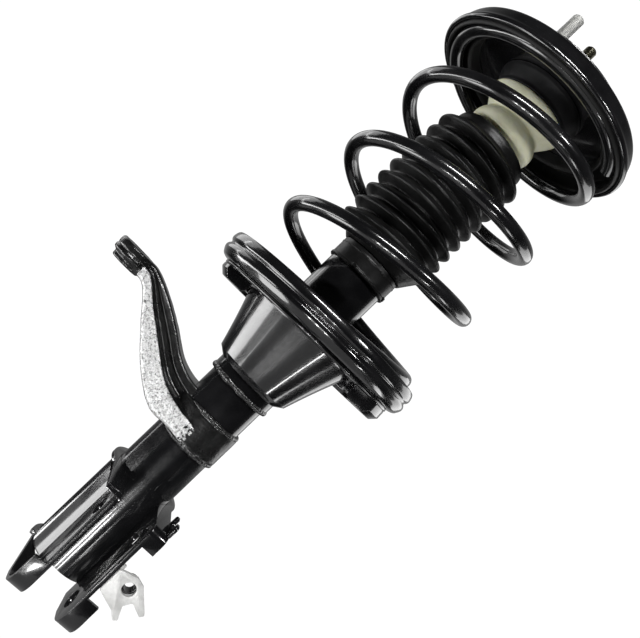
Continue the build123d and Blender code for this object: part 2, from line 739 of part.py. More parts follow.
# ---------------------------------------------------------------- write the parts
nodes = {
    "outer_tube": outer_tube, "base_cap": base_cap, "inner_cylinder": inner_cylinder,
    "foot_valve": foot_valve, "rod_guide": rod_guide, "guide_bush": guide_bush,
    "oil_seal": oil_seal, "bump_cap": bump_cap,
    "knuckle_bracket": knuckle_bracket, "sensor_clip": sensor_clip,
    "hose_bracket": hose_bracket, "hose_nut": hose_nut,
    "steering_arm": steering_arm, "weld_beads": weld_beads,
    "support_cone": support_cone, "seat_base_plate": seat_base_plate,
    "seat_stiffener": seat_stiffener, "lower_spring_seat": lower_spring_seat,
    "coil_spring": coil_spring, "dust_boot": dust_boot, "bump_stop": bump_stop,
    "stop_cup": stop_cup,
    "piston_rod": piston_rod, "piston": piston, "piston_band": piston_band,
    "piston_shims": piston_shims, "piston_nut": piston_nut, "rebound_stop": rebound_stop,
    "upper_spring_seat": upper_spring_seat, "upper_isolator": upper_isolator,
    "bearing_inner_race": bearing_inner_race, "bearing_outer_race": bearing_outer_race,
    "bearing_balls": bearing_balls, "bearing_cage": bearing_cage,
    "bearing_spacer": bearing_spacer, "rod_washer": rod_washer, "rod_nut": rod_nut,
    "mount_shell": mount_shell, "mount_rubber": mount_rubber,
    "mount_base_plate": mount_base_plate, "mount_studs": mount_studs,
}

os.makedirs("parts", exist_ok=True)
for name, make in nodes.items():
    export_step(make(), f"parts/{name}.step")
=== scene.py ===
import math

import bmesh
import bpy
from mathutils import Matrix, Vector, noise


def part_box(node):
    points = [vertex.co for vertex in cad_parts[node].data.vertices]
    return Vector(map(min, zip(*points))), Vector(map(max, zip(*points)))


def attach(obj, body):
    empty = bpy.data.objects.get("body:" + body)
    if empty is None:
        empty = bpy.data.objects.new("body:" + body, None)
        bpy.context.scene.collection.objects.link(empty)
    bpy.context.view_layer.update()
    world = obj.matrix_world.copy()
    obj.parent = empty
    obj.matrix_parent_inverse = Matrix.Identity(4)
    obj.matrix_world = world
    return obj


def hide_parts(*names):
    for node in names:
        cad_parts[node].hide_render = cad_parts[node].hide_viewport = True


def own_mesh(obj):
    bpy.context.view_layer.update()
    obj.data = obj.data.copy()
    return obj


# Looks of the strut assembly. Every length in an outline is in millimetres, in the row frame,
# and becomes metres in the mesh. +Z runs up the strut's axis.

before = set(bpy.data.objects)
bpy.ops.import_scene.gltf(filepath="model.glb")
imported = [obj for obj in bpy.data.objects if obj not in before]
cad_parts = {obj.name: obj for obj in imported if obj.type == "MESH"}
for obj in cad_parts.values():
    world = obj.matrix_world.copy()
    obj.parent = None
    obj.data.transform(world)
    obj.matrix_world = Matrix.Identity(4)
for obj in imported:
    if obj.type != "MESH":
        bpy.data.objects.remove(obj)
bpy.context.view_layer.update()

MM = 0.001
STRUT, ROD, MOUNT = "strut_body", "rod_and_seat", "top_mount"


# ---------------------------------------------------------------- sizes taken from the frame
def span(node):
    """Lowest and highest corner of a node, in millimetres."""
    low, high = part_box(node)
    return low / MM, high / MM


tube_high = span("outer_tube")[1]
tube_radius = tube_high.x
tube_top = tube_high.z
seat_high = span("upper_spring_seat")[1]
skirt_radius = seat_high.x
cup_low, cup_high = span("stop_cup")
shoulder = cup_high.z
stop_top = cup_low.z
stop_radius = cup_high.x - 4.0
boot_low, boot_high = span("dust_boot")
boot_top = boot_high.z
boot_tip_radius = boot_high.y
cuff_foot = boot_low.z
arm_low_corner, arm_high_corner = span("steering_arm")
arm_boss_radius = 17.0
arm_end_height = 17.5
arm_reach = -arm_low_corner.x - arm_boss_radius
arm_low = arm_low_corner.z + 2.0
arm_boss_top = arm_high_corner.z
arm_collar_height = 27.0
arm_high = arm_low + arm_collar_height
cone_foot = span("support_cone")[0].z
rod_tip = span("piston_rod")[1].z

# sizes that no box gives
seat_shift = 5.5             # lower seat's centre from the axis, along +X
seat_tilt = 2.6              # degrees
seat_floor = -280.0
spring_radius = 78.8
wire_radius = 6.2
rod_radius = 10.0
thread_radius = 5.0
thread_pitch = 1.25
stud_count = 3
stud_circle = 57.5
stud_phase = -114.0
stud_height = 24.5
plate_sheet = 3.0


# ---------------------------------------------------------------- mesh helpers
def soften(points, radius, steps=4):
    """A closed outline with each corner replaced by a short curve."""
    out = []
    count = len(points)
    for i, point in enumerate(points):
        here = Vector(point)
        before = Vector(points[i - 1]) - here
        after = Vector(points[(i + 1) % count]) - here
        start = here + before.normalized() * min(radius, before.length * 0.48)
        end = here + after.normalized() * min(radius, after.length * 0.48)
        for k in range(steps + 1):
            t = k / steps
            out.append(start * (1 - t) ** 2 + here * 2 * t * (1 - t) + end * t * t)
    return out


def mesh_piece(name, points, faces, sharp=35.0):
    """A mesh object from points in millimetres, smooth except where faces meet sharply."""
    mesh = bpy.data.meshes.new(name)
    mesh.from_pydata([Vector(p) * MM for p in points], [], faces)
    shape = bmesh.new()
    shape.from_mesh(mesh)
    bmesh.ops.recalc_face_normals(shape, faces=shape.faces)
    shape.to_mesh(mesh)
    shape.free()
    mesh.shade_smooth()
    mesh.set_sharp_from_angle(angle=math.radians(sharp))
    piece = bpy.data.objects.new(name, mesh)
    bpy.context.scene.collection.objects.link(piece)
    return piece


def skin(rings, around=False):
    """Points and faces through rings of equal count. Around joins the last ring to the first."""
    count = len(rings[0])
    points = [p for ring in rings for p in ring]
    faces = []
    for i in range(len(rings) if around else len(rings) - 1):
        a, b = i * count, (i + 1) % len(rings) * count
        for k in range(count):
            n = (k + 1) % count
            faces.append((a + k, a + n, b + n, b + k))
    if not around:
        faces.append(tuple(range(count))[::-1])
        faces.append(tuple(range(len(points) - count, len(points))))
    return points, faces


def lathe(name, outline, segments=128, shift=None, sharp=35.0):
    """A ring turned about Z from a closed outline of (radius, height)."""
    rings = []
    for i in range(segments):
        angle = 2 * math.pi * i / segments
        rings.append([Vector((p[0] * math.cos(angle), p[0] * math.sin(angle), p[1])) for p in outline])
    points, faces = skin(rings, around=True)
    if shift:
        points = [shift(p) for p in points]
    return mesh_piece(name, points, faces, sharp)


def join(name, pieces):
    """One object from several, with their materials."""
    with bpy.context.temp_override(
        active_object=pieces[0], selected_objects=pieces, selected_editable_objects=pieces
    ):
        bpy.ops.object.join()
    pieces[0].name = name
    return pieces[0]


def apply_modifiers(piece):
    """The piece with its modifiers made part of its mesh."""
    graph = bpy.context.evaluated_depsgraph_get()
    mesh = bpy.data.meshes.new_from_object(piece.evaluated_get(graph))
    piece.modifiers.clear()
    piece.data = mesh
    return piece


def put_on(piece, body, slot, *nodes):
    """Rides the piece on its body, gives it that slot's material if it has none, and hides the nodes it
    replaces.
    """
    if not piece.data.materials:
        piece.data.materials.append(finish_of[slot])
    if nodes:
        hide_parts(*nodes)
    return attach(piece, body)


# ---------------------------------------------------------------- material helpers
class Look:
    """A node material on the Principled shader, with patterns in the object's own coordinates."""

    def __init__(self, name, **fixed):
        self.material = bpy.data.materials.new(name)
        self.material.use_nodes = True
        self.tree = self.material.node_tree
        self.shader = self.tree.nodes["Principled BSDF"]
        self.place = self.tree.nodes.new("ShaderNodeTexCoord").outputs["Object"]
        self.normal = None
        for socket, value in fixed.items():
            self.shader.inputs[socket.replace("_", " ")].default_value = value

    def noise(self, scale, detail=4.0, roughness=0.55, distortion=0.0):
        """Cloudy pattern, with scale in features per metre."""
        node = self.tree.nodes.new("ShaderNodeTexNoise")
        node.inputs["Scale"].default_value = scale
        node.inputs["Detail"].default_value = detail
        node.inputs["Roughness"].default_value = roughness
        node.inputs["Distortion"].default_value = distortion
        self.tree.links.new(self.place, node.inputs["Vector"])
        return node.outputs["Fac"]

    def cells(self, scale):
        """Distance to the nearest of many scattered points."""
        node = self.tree.nodes.new("ShaderNodeTexVoronoi")
        node.inputs["Scale"].default_value = scale
        self.tree.links.new(self.place, node.inputs["Vector"])
        return node.outputs["Distance"]

    def stretch(self, x, y, z):
        """Patterns made after this are squeezed or stretched along each axis."""
        node = self.tree.nodes.new("ShaderNodeMapping")
        node.inputs["Scale"].default_value = (x, y, z)
        self.tree.links.new(self.place, node.inputs["Vector"])
        self.place = node.outputs["Vector"]

    def ramp(self, source, *stops):
        """Colour by value, from (position, grey or colour) stops."""
        node = self.tree.nodes.new("ShaderNodeValToRGB")
        band = node.color_ramp
        while len(band.elements) < len(stops):
            band.elements.new(0.5)
        for element, (position, colour) in zip(band.elements, stops):
            element.position = position
            element.color = (*colour, 1.0) if isinstance(colour, tuple) else (colour,) * 3 + (1.0,)
        self.tree.links.new(source, node.inputs["Fac"])
        return node.outputs["Color"]

    def mix(self, factor, a, b):
        """Between two colours, each a socket or a colour."""
        node = self.tree.nodes.new("ShaderNodeMix")
        node.data_type = "RGBA"
        self.tree.links.new(factor, node.inputs[0])
        for socket, value in ((node.inputs[6], a), (node.inputs[7], b)):
            if isinstance(value, tuple):
                socket.default_value = (*value, 1.0)
            else:
                self.tree.links.new(value, socket)
        return node.outputs[2]

    def range(self, source, low, high, new_low, new_high):
        """Values between low and high spread to lie between the new limits."""
        node = self.tree.nodes.new("ShaderNodeMapRange")
        limits = {"From Min": low, "From Max": high, "To Min": new_low, "To Max": new_high}
        for socket, value in limits.items():
            node.inputs[socket].default_value = value
        self.tree.links.new(source, node.inputs["Value"])
        return node.outputs["Result"]

    def bump(self, height, distance, strength=1.0):
        """Adds a bump, distance in metres, over the ones before it."""
        node = self.tree.nodes.new("ShaderNodeBump")
        node.inputs["Distance"].default_value = distance
        node.inputs["Strength"].default_value = strength
        self.tree.links.new(height, node.inputs["Height"])
        if self.normal:
            self.tree.links.new(self.normal, node.inputs["Normal"])
        self.normal = node.outputs["Normal"]
        self.tree.links.new(self.normal, self.shader.inputs["Normal"])

    def set(self, socket, source):
        self.tree.links.new(source, self.shader.inputs[socket])


# ---------------------------------------------------------------- materials
def gloss_paint(name, colour, roughness, texture, peel):
    """Black stoving paint: deep gloss, orange peel, a little dust and tiny nibs."""
    look = Look(name, Specular_IOR_Level=0.5, Coat_Weight=0.9, Coat_Roughness=0.08, Coat_IOR=1.5)
    broad = look.noise(28.0, 5.0, 0.6)
    fine = look.noise(650.0, 3.0, 0.5)
    light = tuple(c * 1.9 + 0.002 for c in colour)
    look.set("Base Color", look.ramp(broad, (0.35, colour), (0.75, light)))
    look.set("Roughness", look.range(broad, 0.3, 0.7, roughness, roughness + texture))
    look.bump(look.noise(240.0, 2.0, 0.5), peel)
    look.bump(fine, peel * 0.25)
    return look.material


def bare_metal(name, colour, roughness, grain, stretch=(1, 1, 1), stain=(0.9, 0.9, 0.9), metallic=1.0):
    """Machined, plated or sintered metal with a grain and light staining."""
    look = Look(name, Metallic=metallic)
    blotch = look.noise(60.0, 5.0, 0.65)
    stained = tuple(c * s for c, s in zip(colour, stain))
    look.set("Base Color", look.ramp(blotch, (0.3, stained), (0.7, colour)))
    look.set("Roughness", look.range(blotch, 0.3, 0.7, roughness, min(1.0, roughness + 0.16)))
    look.stretch(*stretch)
    look.bump(look.noise(900.0, 4.0, 0.6), grain)
    return look.material


def forging_paint():
    """Thin black paint over a shot-blasted forging."""
    look = Look("forged_arm", Specular_IOR_Level=0.45, Coat_Weight=0.3, Coat_Roughness=0.10)
    scale = look.noise(300.0, 5.0, 0.6)
    broad = look.noise(45.0, 4.0, 0.6)
    look.set("Base Color", look.ramp(scale, (0.35, 0.004), (0.6, 0.010), (0.8, 0.03)))
    look.set("Roughness", look.range(broad, 0.3, 0.7, 0.20, 0.36))
    look.bump(look.cells(420.0), 0.00008, 0.5)
    look.bump(scale, 0.00016)
    return look.material


def arm_facet_painted_reflection_look():
    """The arm's front facet: pale metal colour as a painted reflection of bright light on the black paint,
    with dark pits of the rough forging.
    """
    look = Look("arm_facet_painted_reflection", Metallic=0.85)
    pits = look.noise(520.0, 8.0, 0.75, 0.6)
    broad = look.noise(70.0, 5.0, 0.6)
    speckle = look.ramp(pits, (0.36, 0.04), (0.45, 0.42), (0.52, 0.74), (0.75, 0.88))
    look.set("Base Color", look.mix(look.range(broad, 0.45, 0.8, 0.0, 0.35), speckle, (0.34, 0.34, 0.34)))
    look.set("Roughness", look.range(pits, 0.3, 0.7, 0.62, 0.38))
    look.bump(look.cells(600.0), 0.0003, 0.7)
    look.bump(pits, 0.0005)
    return look.material


def weld_paint():
    """Paint over a weld bead, with spatter."""
    look = Look("weld_black", Specular_IOR_Level=0.45, Coat_Weight=0.5, Coat_Roughness=0.12)
    rough = look.noise(400.0, 5.0, 0.65)
    look.set("Base Color", look.ramp(rough, (0.3, 0.006), (0.8, 0.03)))
    look.set("Roughness", look.range(rough, 0.3, 0.7, 0.18, 0.4))
    look.bump(rough, 0.00022)
    look.bump(look.cells(700.0), 0.0001, 0.5)
    return look.material


def bellows_rubber():
    """Matt black rubber with bloom and dust on it."""
    look = Look("boot_rubber", Specular_IOR_Level=0.24)
    bloom = look.noise(55.0, 6.0, 0.65)
    fine = look.noise(1100.0, 3.0, 0.6)
    look.set("Base Color", look.ramp(bloom, (0.35, 0.004), (0.7, 0.010)))
    look.set("Roughness", look.range(bloom, 0.3, 0.7, 0.28, 0.40))
    look.bump(fine, 0.00006)
    look.bump(look.noise(160.0, 3.0, 0.5), 0.00022)
    return look.material


def seat_rubber():
    """Plain moulded rubber, duller than the boot."""
    look = Look("seat_rubber", Specular_IOR_Level=0.35)
    broad = look.noise(80.0, 5.0, 0.6)
    look.set("Base Color", look.ramp(broad, (0.35, 0.004), (0.75, 0.010)))
    look.set("Roughness", look.range(broad, 0.3, 0.7, 0.45, 0.62))
    look.bump(look.noise(800.0, 4.0, 0.6), 0.00012)
    return look.material


def cream_foam():
    """Microcellular urethane: pale cream, fine cells, greener in cloudy patches."""
    look = Look("stop_foam", Specular_IOR_Level=0.3, Subsurface_Weight=0.25, Subsurface_Scale=0.004)
    look.shader.inputs["Subsurface Radius"].default_value = (1.0, 0.9, 0.55)
    broad = look.noise(38.0, 4.0, 0.6)
    cells = look.cells(1500.0)
    look.set("Base Color", look.ramp(
        broad, (0.3, (0.80, 0.80, 0.56)), (0.55, (0.93, 0.93, 0.70)), (0.8, (0.97, 0.96, 0.80))))
    look.set("Roughness", look.range(broad, 0.3, 0.7, 0.42, 0.62))
    look.bump(cells, 0.0001, 0.6)
    look.bump(look.noise(90.0, 4.0, 0.6), 0.0007)
    return look.material


def moulded_plastic(name, colour, roughness):
    """Injection-moulded plastic with a faint grain."""
    look = Look(name, Specular_IOR_Level=0.4)
    broad = look.noise(90.0, 4.0, 0.6)
    light = tuple(min(1.0, c * 1.25 + 0.004) for c in colour)
    look.set("Base Color", look.ramp(broad, (0.35, colour), (0.7, light)))
    look.set("Roughness", look.range(broad, 0.3, 0.7, roughness, roughness + 0.14))
    look.bump(look.noise(1400.0, 3.0, 0.5), 0.00005)
    return look.material


def olive_plating():
    """Olive chromate over zinc, which turns from straw to green."""
    look = Look("olive_zinc", Metallic=1.0)
    tint = look.noise(120.0, 4.0, 0.6, 0.4)
    look.set("Base Color", look.ramp(
        tint, (0.3, (0.06, 0.058, 0.045)), (0.5, (0.15, 0.145, 0.11)), (0.72, (0.30, 0.29, 0.23))))
    look.set("Roughness", look.range(tint, 0.3, 0.7, 0.26, 0.42))
    look.bump(look.noise(1000.0, 4.0, 0.6), 0.0001)
    return look.material


finish_of = {
    "black_gloss": gloss_paint("black_gloss", (0.0045, 0.0045, 0.005), 0.15, 0.10, 0.00006),
    "spring_black": gloss_paint("spring_black", (0.0045, 0.0045, 0.005), 0.17, 0.08, 0.00009),
    "forged_arm": forging_paint(),
    # the arm's front facet: its pale colour is a painted reflection
    "arm_facet_painted_reflection": arm_facet_painted_reflection_look(),
    "weld_black": weld_paint(),
    "zinc": bare_metal(
        "zinc", (0.86, 0.86, 0.85), 0.30, 0.00020, stain=(0.66, 0.66, 0.65), metallic=0.35),
    "stud_zinc": bare_metal(
        "stud_zinc", (0.95, 0.95, 0.94), 0.30, 0.0001, stain=(0.8, 0.8, 0.78), metallic=0.45),
    "olive_zinc": olive_plating(),
    "ground_chrome": bare_metal("ground_chrome", (0.72, 0.73, 0.75), 0.06, 0.00002, (1, 1, 12)),
    "bare_steel": bare_metal("bare_steel", (0.45, 0.44, 0.42), 0.30, 0.00010, (1, 1, 8)),
    "sinter": bare_metal("sinter", (0.22, 0.215, 0.21), 0.55, 0.00020),
    "boot_rubber": bellows_rubber(),
    "seat_rubber": seat_rubber(),
    "stop_foam": cream_foam(),
    "stop_cup": moulded_plastic("stop_cup", (0.012, 0.012, 0.013), 0.38),
    "bronze_bush": bare_metal("bronze_bush", (0.48, 0.30, 0.13), 0.34, 0.00012, (1, 1, 6)),
    "bearing_steel": bare_metal("bearing_steel", (0.60, 0.60, 0.61), 0.12, 0.00004),
    "cage": moulded_plastic("cage", (0.36, 0.33, 0.25), 0.42),
    "ptfe": moulded_plastic("ptfe", (0.10, 0.09, 0.08), 0.50),
}


def paint_nodes():
    """Each CAD node that stays takes the procedural material of its record slot."""
    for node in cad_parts.values():
        for place in node.material_slots:
            place.material = finish_of[place.material.name.split(".")[0]]


# ---------------------------------------------------------------- coil spring
spring_turns = 5.0
active_pitch, closed_pitch = 69.3, 4.0
lower_closed, lower_ramp = 0.435, 0.7
upper_closed, upper_ramp = 0.33, 0.67
spring_phase = -14.7


def spring_pitch(turn):
    """Rise in mm per turn: closed ends, a ramp, and even pitch between."""
    full = lower_closed + lower_ramp
    fade = spring_turns - upper_closed - upper_ramp
    if turn < lower_closed:
        return 0.0
    if turn < full:
        return active_pitch * (turn - lower_closed) / lower_ramp
    if turn < fade:
        return active_pitch
    if turn < fade + upper_ramp:
        return active_pitch + (closed_pitch - active_pitch) * (turn - fade) / upper_ramp
    return closed_pitch


def spring_line(per_turn=96):
    """The wire's centreline, leaning from the lower seat's centre to the strut's axis."""
    count = round(spring_turns * per_turn)
    heights = [0.0]
    for i in range(count):
        heights.append(heights[-1] + spring_pitch((i + 0.5) / per_turn) / per_turn)
    bottom = seat_floor + wire_radius + 0.5
    line = []
    for i, height in enumerate(heights):
        angle = math.radians(spring_phase + 360.0 * i / per_turn)
        share = 1 - height / heights[-1]
        x = spring_radius * math.cos(angle)
        lean = math.tan(math.radians(seat_tilt)) * x * share ** 3
        y = spring_radius * math.sin(angle)
        line.append(Vector((x + seat_shift * share, y, bottom + height + lean)))
    return line


def coil_spring():
    """Wire swept along its line, with a small chamfer at each cut end."""
    line = spring_line()
    sides, chamfer = 28, 0.8
    rings = []
    last = len(line) - 1
    for i, point in enumerate(line):
        ahead = (line[min(i + 1, last)] - line[max(i - 1, 0)]).normalized()
        out = Vector((point.x, point.y, 0))
        out = (out - ahead * out.dot(ahead)).normalized()
        up = ahead.cross(out)
        sizes = [(0.0, wire_radius)]
        if i == 0:
            sizes = [(0.0, wire_radius - chamfer), (chamfer, wire_radius)]
        if i == last:
            sizes = [(-chamfer, wire_radius), (0.0, wire_radius - chamfer)]
        for along, radius in sizes:
            rings.append([
                point + ahead * along + (out * math.cos(a) + up * math.sin(a)) * radius
                for a in (2 * math.pi * k / sides for k in range(sides))
            ])
    spring = put_on(mesh_piece("coil_spring_wire", *skin(rings)), STRUT, "spring_black", "coil_spring")
    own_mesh(spring)


# ---------------------------------------------------------------- dust boot
rib_count, rib_pitch, first_rib = 9, 12.7, -87.0
boot_collar_radius, valley_radius, boot_wall = 36.0, 37.0, 1.6
cuff_wall = 1.8
boot_sway = -3.2             # mm that the bellows bows towards -X at its middle


def swayed(point):
    """The bellows bows sideways, and its ribs stay square to its bent axis."""
    length = boot_top - tube_top
    share = min(1.0, max(0.0, (point.z - tube_top) / length))
    side = boot_sway * math.sin(math.pi * share)
    slope = boot_sway * math.pi / length * math.cos(math.pi * share) * min(1.0, share * 6)
    sag = 0.5 * noise.noise(Vector((point.x * 0.02, point.y * 0.02, point.z * 0.05)))
    return Vector((point.x + side, point.y, point.z - slope * point.x + sag * min(1.0, share * 6)))


def bellows():
    """Thin moulded bellows with rounded ribs, a collar at the top and an open foot on the cuff."""
    r, v, w, c = boot_tip_radius, valley_radius, boot_wall, boot_collar_radius
    outer = [(c - 5.5, boot_top), (c - 1.2, boot_top), (c, boot_top - 3.5), (c, first_rib + rib_pitch * 0.5)]
    inner = [(c - 5.5, boot_top - w), (c - w - 0.8, boot_top - w), (c - w, first_rib + rib_pitch * 0.5)]
    for i in range(rib_count):
        z = first_rib - i * rib_pitch
        outer += [(r - 3.2, z + 3.0), (r, z + 0.9), (r, z - 0.9), (r - 3.2, z - 3.0)]
        inner += [(r - w - 1.4, z + 0.9), (r - w - 1.4, z - 0.9)]
        if i < rib_count - 1:
            low = z - rib_pitch / 2
            outer += [(v, low + 0.9), (v, low - 0.9)]
            inner += [(v - w, low + 0.9), (v - w, low - 0.9)]
    foot = tube_radius + cuff_wall
    outer += [(foot + 1.0, tube_top - 0.4)]
    inner += [(foot - 0.4, tube_top + 0.8)]
    outline = soften(outer + inner[::-1], 1.6, 3)
    piece = put_on(lathe("boot_bellows", outline, 112, swayed), STRUT, "boot_rubber", "dust_boot")
    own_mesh(piece)


def cuff():
    """Cuff that grips the tube, with a bead at each end and four lugs on its edge."""
    r, t = tube_radius, cuff_wall
    high = tube_top - 0.2
    outline = soften([
        (r + 0.02, high), (r + t, high), (r + t, high - 3.0), (r + t + 0.5, high - 4.0), (r + t, high - 5.0),
        (r + t, cuff_foot + 3.2), (r + t + 0.7, cuff_foot + 2.4), (r + t + 0.7, cuff_foot + 0.6),
        (r + t, cuff_foot), (r + 0.02, cuff_foot),
    ], 0.6, 3)
    parts = [lathe("boot_cuff", outline, 112)]
    for i in range(4):
        turn = Matrix.Rotation(math.radians(spring_phase + 90 * i), 3, "Z")
        ring = soften([(-2.0, -1.8), (2.0, -1.8), (2.0, 1.8), (-2.0, 1.8)], 0.9, 3)
        rings = []
        for out, size in ((-0.6, 1.0), (1.0, 1.0), (1.5, 0.75)):
            rings.append([
                turn @ Vector((r + t + out, p.x * size, cuff_foot + 2.6 + p.y * size)) for p in ring
            ])
        parts.append(mesh_piece(f"lug_{i}", *skin(rings)))
    put_on(join("boot_cuff", parts), STRUT, "boot_rubber", "dust_boot")


# ---------------------------------------------------------------- bump stop, cup and rubbers
def bump_stop():
    """Urethane stop: wide head, waist, bulge and ribbed tail, cast a little unevenly."""
    waist, bulge, bore = 25.9, 30.6, 10.4
    foot = span("bump_stop")[0].z
    outline = soften([
        (bore, stop_top), (stop_radius - 1.6, stop_top), (stop_radius, stop_top - 1.8),
        (stop_radius - 1.0, -35.4), (waist + 1.2, -47.0), (waist, -49.6), (waist + 1.4, -51.8),
        (bulge - 1.0, -55.5), (bulge, -60.0),
        (bulge - 1.0, -64.5), (waist - 0.6, -69.0), (waist - 1.2, -71.2), (waist - 0.4, -73.2),
        (bulge - 3.5, -77.0), (bulge - 3.5, -81.0), (18.0, -88.0), (15.0, foot), (bore, foot),
    ], 3.0, 5)

    def uneven(point):
        push = noise.fractal(point * 0.11, 1.0, 2.0, 3) * 0.22
        flat = Vector((point.x, point.y, 0))
        return point + flat.normalized() * push if flat.length > bore + 1 else point

    put_on(lathe("bump_stop_foam", outline, 144, uneven), ROD, "stop_foam", "bump_stop")


def stop_cup():
    """Moulded cup above the stop, with a rounded brim."""
    bore = 10.1
    outline = soften([
        (bore, shoulder), (stop_radius + 4, shoulder), (stop_radius + 4, shoulder - 3),
        (stop_radius - 1, stop_top + 3), (stop_radius - 1, stop_top), (bore, stop_top),
    ], 0.9, 4)
    put_on(lathe("stop_cup_moulding", outline), ROD, "stop_cup", "stop_cup")


def upper_isolator():
    """Rubber ring whose two lips hold the closed coil."""
    inner, outer = spring_radius - wire_radius - 1.0, spring_radius + wire_radius + 0.6
    r, s, top = skirt_radius - 5.8, skirt_radius, shoulder
    outline = soften([
        (inner - 6, top), (r - 3.2, top), (r - 1.4, top - 2.2), (s - 4.1, -25.0), (s - 4.4, -29.5),
        (s - 6.0, -31.4), (outer + 1.2, -31.2), (outer, -28.5), (outer, top - 1.9), (inner, top - 1.9),
        (inner, -23.5), (inner - 1.6, -25.5), (inner - 2.6, -25.2), (inner - 4, -23.0),
    ], 1.0, 4)
    put_on(lathe("upper_isolator_rubber", outline, 160), ROD, "seat_rubber", "upper_isolator")


def mount_rubber():
    """Bonded rubber of the top mount, bulging a little at its free faces."""
    race = span("bearing_outer_race")
    race_radius, race_low, race_high = race[1].x, race[0].z, race[1].z
    t = plate_sheet
    outline = soften([
        (race_radius, race_low), (27.0, -2.2), (30.0, -t), (48.5, -t), (41.0, 11.5 - t), (27.0, 16.5 - t),
        (26.5, 16.5 - t), (25.2, race_high + 0.8), (race_radius, race_high),
    ], 0.9, 4)
    put_on(lathe("mount_rubber_bond", outline), MOUNT, "seat_rubber", "mount_rubber")


# ---------------------------------------------------------------- spring seats
def upper_spring_seat():
    """Inverted pan with a flared skirt and a rolled edge."""
    t, r, s = 2.5, skirt_radius - 5.8, skirt_radius
    top, low = seat_high.z, shoulder
    outline = soften([
        (thread_radius + 0.1, top), (52.0, top), (54.0, top - 0.9), (68.0, top - 0.9), (70.0, top),
        (r - 2.5, top), (r, top - 1.2), (r + 1.6, top - 3.4), (s - 1.4, -23.8), (s, -26.0), (s, -28.2),
        (s - 1.4, -29.6), (s - 3.2, -29.4), (s - 3.8, -27.4), (s - t - 1.6, -25.0), (r - 1.4, low - 2.2),
        (r - 3.2, low), (thread_radius + 0.1, low),
    ], 1.8, 5)
    put_on(lathe("upper_seat_pressing", outline, 192), ROD, "black_gloss", "upper_spring_seat")


def onto_seat(point):
    """Moves a point made about the axis onto the offset, tilted lower seat."""
    turn = Matrix.Rotation(math.radians(-seat_tilt), 3, "Y")
    return turn @ Vector(point) + Vector((seat_shift, 0, seat_floor))


def lower_spring_seat():
    """Pressed pan with beads rolled round its wall."""
    t, r, h, bore = 3.0, spring_radius + wire_radius + 9.4, 19.0, tube_radius + 0.1
    outline = soften([
        (bore + seat_shift, -t), (r - 6.5, -t), (r - 3.0, -t + 1.5), (r - 0.5, h * 0.14), (r, h * 0.26),
        (r - 0.7, h * 0.37), (r - 2.6, h * 0.47), (r - 0.6, h * 0.57), (r, h * 0.68), (r - 0.8, h * 0.88),
        (r - 2.2, h), (r - 3.8, h * 0.95), (r - t - 0.3, h * 0.68), (r - t - 2.2, h * 0.47),
        (r - t - 0.3, h * 0.26), (r - 6.0, 1.2), (r - 8.0, 0), (bore + seat_shift, 0),
    ], 1.4, 4)
    put_on(lathe("lower_seat_pressing", outline, 192, onto_seat), STRUT, "black_gloss", "lower_spring_seat")


# ---------------------------------------------------------------- steering arm
def between(stations, reach):
    """Smooth interpolation of a row of numbers at a reach."""
    last = len(stations) - 1
    i = 0
    while i < last - 1 and reach > stations[i + 1][0]:
        i += 1
    a, b = stations[i], stations[i + 1]
    before, after = stations[max(i - 1, 0)], stations[min(i + 2, last)]
    t = (reach - a[0]) / (b[0] - a[0])
    out = []
    for k in range(1, len(a)):
        leave = (b[k] - before[k]) / max(b[0] - before[0], 1) * (b[0] - a[0])
        arrive = (after[k] - a[k]) / max(after[0] - a[0], 1) * (b[0] - a[0])
        out.append(
            (2 * t ** 3 - 3 * t ** 2 + 1) * a[k] + (t ** 3 - 2 * t ** 2 + t) * leave
            + (3 * t ** 2 - 2 * t ** 3) * b[k] + (t ** 3 - t ** 2) * arrive
        )
    return out


def arm_ring(reach, low, crest, top, depth):
    """Section of the forging: front facet, dark channel, ridge, upper flange."""
    front, back = -depth / 2, depth / 2
    rise = top - crest
    channel, ridge = front + depth * 0.30, front + depth * 0.20
    corners = [
        (front + 2.4, low), (front, low + 2.6), (front - 0.2, crest - 1.2), (front + 1.2, crest + 0.4),
        (channel, crest + rise * 0.16), (channel, crest + rise * 0.46), (ridge, crest + rise * 0.58),
        (ridge + 0.6, crest + rise * 0.70), (ridge + 1.6, top - 0.6), (ridge + 3.0, top),
        (back - 2.4, top), (back, top - 3.0), (back, low + 4.0), (back - 2.4, low),
    ]
    return [Vector((-reach, p.x, p.y)) for p in soften(corners, 1.1, 2)]


def boolean(piece, tool, operation):
    """Combines the piece with a tool, which is then removed."""
    change = piece.modifiers.new("combine", "BOOLEAN")
    change.operation, change.object, change.solver = operation, tool, "EXACT"
    bpy.context.view_layer.update()
    apply_modifiers(piece)
    bpy.data.objects.remove(tool)
    return piece


def rod_tool(name, x, stations, segments=96):
    """A round solid about a vertical line through x, from (height, radius) stations."""
    rings = []
    for z, radius in stations:
        rings.append([
            Vector((x + radius * math.cos(a), radius * math.sin(a), z))
            for a in (2 * math.pi * k / segments for k in range(segments))
        ])
    return mesh_piece(name, *skin(rings))


